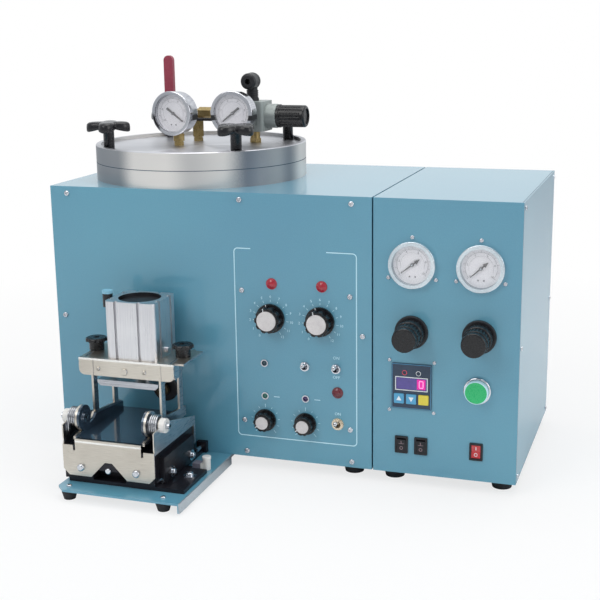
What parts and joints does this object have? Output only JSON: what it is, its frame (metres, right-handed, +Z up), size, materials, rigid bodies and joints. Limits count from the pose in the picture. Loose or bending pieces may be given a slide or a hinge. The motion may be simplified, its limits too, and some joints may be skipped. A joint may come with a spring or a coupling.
{
  "type": "vacuum wax injector with a mould clamp",
  "caption": "Bench wax injector: a heated lidded pot in a box cabinet, a control cabinet beside it and a pneumatic mould clamp in front.",
  "frame": {"origin": "on the bench, under the middle of the box round the whole machine", "axes": "+X to the right as seen from the front, +Y from the front to the back, +Z up"},
  "size_m": [0.6418, 0.501, 0.5425],
  "materials": {
    "cabinet_enamel": "satin blue enamel over sheet steel",
    "stainless_steel": "brushed and folded stainless steel",
    "turned_steel": "turned stainless steel",
    "rubber_black": "moulded rubber",
    "seal_rubber": "silicone cord",
    "zinc_plated": "bright zinc plate",
    "board_and_units": "circuit board and inner units",
    "black_plastic": "moulded black plastic",
    "brass_fittings": "turned brass",
    "lever_red": "dipped red plastic",
    "regulator_zinc": "painted die casting",
    "gauge_case": "polished gauge case with white dial",
    "clear_lens": "flat clear glass",
    "needle_black": "blackened pointer",
    "toggle_chrome": "chrome plate",
    "lamp_red": "moulded red lens",
    "counter_plastic": "moulded dark blue plastic",
    "key_blue": "moulded blue key",
    "key_yellow": "moulded yellow key",
    "button_green": "moulded green plastic",
    "rocker_red": "moulded red plastic",
    "black_anodised": "black anodised aluminium",
    "spring_steel": "drawn spring wire",
    "tray_paint": "dark glossy plated steel",
    "cylinder_aluminium": "extruded aluminium"
  },
  "bodies": {
    "cabinet": {"pot_cabinet_shell": "cabinet_enamel", "pot_cabinet_front": "cabinet_enamel", "side_cabinet_shell": "cabinet_enamel", "side_cabinet_front": "cabinet_enamel", "chassis_pans": "cabinet_enamel", "rubber_feet": "rubber_black", "panel_screws": "zinc_plated", "internal_units": "board_and_units", "rear_inlets": "black_plastic", "wax_pot": "turned_steel", "lid_seal": "seal_rubber", "panel_gauges": "gauge_case", "panel_gauge_lenses": "clear_lens", "panel_bezels": "toggle_chrome", "pilot_lamps": "lamp_red", "counter_case": "counter_plastic", "clamp_base_plate": "cabinet_enamel", "slide_base": "black_anodised"},
    "lid": {"pot_lid": "turned_steel", "lid_pipework": "brass_fittings", "lid_regulator": "regulator_zinc", "lid_gauges": "gauge_case", "lid_gauge_lenses": "clear_lens"},
    "clamp_carriage": {"carriage": "black_anodised", "clamp_bracket": "stainless_steel", "tray_axle": "zinc_plated", "torsion_springs": "spring_steel"},
    "tray_and_head": {"mould_tray": "tray_paint", "clamp_head": "stainless_steel", "air_cylinder": "cylinder_aluminium"},
    "lid_knob_front_left_body": {"lid_knob_front_left": "black_plastic"},
    "lid_knob_front_right_body": {"lid_knob_front_right": "black_plastic"},
    "lid_knob_rear_right_body": {"lid_knob_rear_right": "black_plastic"},
    "lid_knob_rear_left_body": {"lid_knob_rear_left": "black_plastic"},
    "valve_lever_body": {"valve_lever": "lever_red"},
    "lid_regulator_knob_body": {"lid_regulator_knob": "black_plastic"},
    "vacuum_needle_body": {"vacuum_needle": "needle_black"},
    "pressure_needle_body": {"pressure_needle": "needle_black"},
    "forward_needle_body": {"forward_needle": "needle_black"},
    "clamp_needle_body": {"clamp_needle": "needle_black"},
    "temperature_knob_left_body": {"temperature_knob_left": "black_plastic"},
    "temperature_knob_right_body": {"temperature_knob_right": "black_plastic"},
    "timer_knob_left_body": {"timer_knob_left": "black_plastic"},
    "timer_knob_right_body": {"timer_knob_right": "black_plastic"},
    "mode_toggle_body": {"mode_toggle": "toggle_chrome"},
    "vacuum_toggle_body": {"vacuum_toggle": "toggle_chrome"},
    "power_toggle_body": {"power_toggle": "toggle_chrome"},
    "regulator_knob_left_body": {"regulator_knob_left": "black_plastic"},
    "regulator_knob_right_body": {"regulator_knob_right": "black_plastic"},
    "counter_key_up_body": {"counter_key_up": "key_blue"},
    "counter_key_down_body": {"counter_key_down": "key_blue"},
    "counter_key_set_body": {"counter_key_set": "key_yellow"},
    "push_button_body": {"push_button": "button_green"},
    "rocker_left_body": {"rocker_left": "black_plastic"},
    "rocker_middle_body": {"rocker_middle": "black_plastic"},
    "rocker_power_body": {"rocker_power": "rocker_red"},
    "press_plate_body": {"press_plate": "cylinder_aluminium"},
    "thumb_knob_left_body": {"thumb_knob_left": "black_plastic"},
    "thumb_knob_right_body": {"thumb_knob_right": "black_plastic"},
    "injection_nozzle_body": {"injection_nozzle": "brass_fittings"}
  },
  "joints": [
    {"name": "lid_lift", "type": "slide", "parent": "cabinet", "child": "lid", "axis": [0, 0, 1], "range_m": [0, 0.06]},
    {"name": "lid_knob_front_left_turn", "type": "hinge", "parent": "lid", "child": "lid_knob_front_left_body", "pos_m": [-0.26013, -0.01257, 0.451], "axis": [0, 0, 1], "continuous": true},
    {"name": "lid_knob_front_right_turn", "type": "hinge", "parent": "lid", "child": "lid_knob_front_right_body", "pos_m": [-0.06933, -0.01923, 0.451], "axis": [0, 0, 1], "continuous": true},
    {"name": "lid_knob_rear_right_turn", "type": "hinge", "parent": "lid", "child": "lid_knob_rear_right_body", "pos_m": [-0.06267, 0.17157, 0.451], "axis": [0, 0, 1], "continuous": true},
    {"name": "lid_knob_rear_left_turn", "type": "hinge", "parent": "lid", "child": "lid_knob_rear_left_body", "pos_m": [-0.25347, 0.17823, 0.451], "axis": [0, 0, 1], "continuous": true},
    {"name": "valve_lever_turn", "type": "hinge", "parent": "lid", "child": "valve_lever_body", "pos_m": [-0.2194, 0.1055, 0.4595], "axis": [0, -1, 0], "range_deg": [0, 90]},
    {"name": "lid_regulator_turn", "type": "hinge", "parent": "lid", "child": "lid_regulator_knob_body", "pos_m": [-0.0574, 0.1225, 0.457], "axis": [1, 0, 0], "continuous": true},
    {"name": "vacuum_needle_turn", "type": "hinge", "parent": "lid", "child": "vacuum_needle_body", "pos_m": [-0.1904, 0.0415, 0.465], "axis": [-0.1045, -0.9945, 0], "range_deg": [0, 270]},
    {"name": "pressure_needle_turn", "type": "hinge", "parent": "lid", "child": "pressure_needle_body", "pos_m": [-0.1064, 0.0575, 0.465], "axis": [0, 1, 0], "range_deg": [0, 270]},
    {"name": "forward_needle_turn", "type": "hinge", "parent": "cabinet", "child": "forward_needle_body", "pos_m": [0.1831, -0.0735, 0.293], "axis": [0, 1, 0], "range_deg": [0, 270]},
    {"name": "clamp_needle_turn", "type": "hinge", "parent": "cabinet", "child": "clamp_needle_body", "pos_m": [0.2691, -0.0735, 0.293], "axis": [0, 1, 0], "range_deg": [0, 270]},
    {"name": "temperature_knob_left_turn", "type": "hinge", "parent": "cabinet", "child": "temperature_knob_left_body", "pos_m": [-0.0057, -0.0815, 0.2115], "axis": [0, 1, 0], "range_deg": [0, 300]},
    {"name": "temperature_knob_right_turn", "type": "hinge", "parent": "cabinet", "child": "temperature_knob_right_body", "pos_m": [0.0623, -0.0815, 0.2115], "axis": [0, 1, 0], "range_deg": [0, 300]},
    {"name": "timer_knob_left_turn", "type": "hinge", "parent": "cabinet", "child": "timer_knob_left_body", "pos_m": [-0.0156, -0.0815, 0.0705], "axis": [0, 1, 0], "range_deg": [0, 300]},
    {"name": "timer_knob_right_turn", "type": "hinge", "parent": "cabinet", "child": "timer_knob_right_body", "pos_m": [0.0408, -0.0815, 0.0705], "axis": [0, 1, 0], "range_deg": [0, 300]},
    {"name": "mode_toggle_tilt", "type": "hinge", "parent": "cabinet", "child": "mode_toggle_body", "pos_m": [0.0411, -0.0685, 0.15], "axis": [1, 0, 0], "range_deg": [0, 24]},
    {"name": "vacuum_toggle_tilt", "type": "hinge", "parent": "cabinet", "child": "vacuum_toggle_body", "pos_m": [0.0837, -0.0685, 0.15], "axis": [1, 0, 0], "range_deg": [0, 24]},
    {"name": "power_toggle_tilt", "type": "hinge", "parent": "cabinet", "child": "power_toggle_body", "pos_m": [0.0854, -0.0685, 0.0745], "axis": [1, 0, 0], "range_deg": [0, 24]},
    {"name": "regulator_knob_left_turn", "type": "hinge", "parent": "cabinet", "child": "regulator_knob_left_body", "pos_m": [0.1831, -0.0935, 0.2065], "axis": [0, 1, 0], "continuous": true},
    {"name": "regulator_knob_right_turn", "type": "hinge", "parent": "cabinet", "child": "regulator_knob_right_body", "pos_m": [0.2691, -0.0935, 0.2065], "axis": [0, 1, 0], "continuous": true},
    {"name": "counter_key_up_press", "type": "slide", "parent": "cabinet", "child": "counter_key_up_body", "axis": [0, 1, 0], "range_m": [0, 0.0008], "stiffness_N_per_m": 1500, "springref_m": -0.0008},
    {"name": "counter_key_down_press", "type": "slide", "parent": "cabinet", "child": "counter_key_down_body", "axis": [0, 1, 0], "range_m": [0, 0.0008], "stiffness_N_per_m": 1500, "springref_m": -0.0008},
    {"name": "counter_key_set_press", "type": "slide", "parent": "cabinet", "child": "counter_key_set_body", "axis": [0, 1, 0], "range_m": [0, 0.0008], "stiffness_N_per_m": 1500, "springref_m": -0.0008},
    {"name": "push_button_press", "type": "slide", "parent": "cabinet", "child": "push_button_body", "axis": [0, 1, 0], "range_m": [0, 0.004], "stiffness_N_per_m": 600, "springref_m": -0.003},
    {"name": "rocker_left_tilt", "type": "hinge", "parent": "cabinet", "child": "rocker_left_body", "pos_m": [0.1711, -0.0695, 0.0555], "axis": [1, 0, 0], "range_deg": [-12, 0]},
    {"name": "rocker_middle_tilt", "type": "hinge", "parent": "cabinet", "child": "rocker_middle_body", "pos_m": [0.1966, -0.0695, 0.0555], "axis": [1, 0, 0], "range_deg": [-12, 0]},
    {"name": "rocker_power_tilt", "type": "hinge", "parent": "cabinet", "child": "rocker_power_body", "pos_m": [0.2681, -0.0695, 0.0555], "axis": [1, 0, 0], "range_deg": [0, 12]},
    {"name": "carriage_travel", "type": "slide", "parent": "cabinet", "child": "clamp_carriage", "axis": [0, 1, 0], "range_m": [0, 0.012]},
    {"name": "tray_tilt", "type": "hinge", "parent": "clamp_carriage", "child": "tray_and_head", "pos_m": [-0.1739, -0.1985, 0.096], "axis": [-1, 0, 0], "range_deg": [0, 2], "stiffness_Nm_per_rad": 12, "springref_deg": -14.32},
    {"name": "press_plate_stroke", "type": "slide", "parent": "tray_and_head", "child": "press_plate_body", "axis": [0, 0, -1], "range_m": [0, 0.03]},
    {"name": "thumb_knob_left_turn", "type": "hinge", "parent": "tray_and_head", "child": "thumb_knob_left_body", "pos_m": [-0.2369, -0.1215, 0.171], "axis": [0, 0, 1], "continuous": true},
    {"name": "thumb_knob_right_turn", "type": "hinge", "parent": "tray_and_head", "child": "thumb_knob_right_body", "pos_m": [-0.1109, -0.1215, 0.171], "axis": [0, 0, 1], "continuous": true},
    {"name": "injection_nozzle_press", "type": "slide", "parent": "cabinet", "child": "injection_nozzle_body", "axis": [0, 1, 0], "range_m": [0, 0.0025], "stiffness_N_per_m": 4000, "springref_m": -0.002}
  ]
}
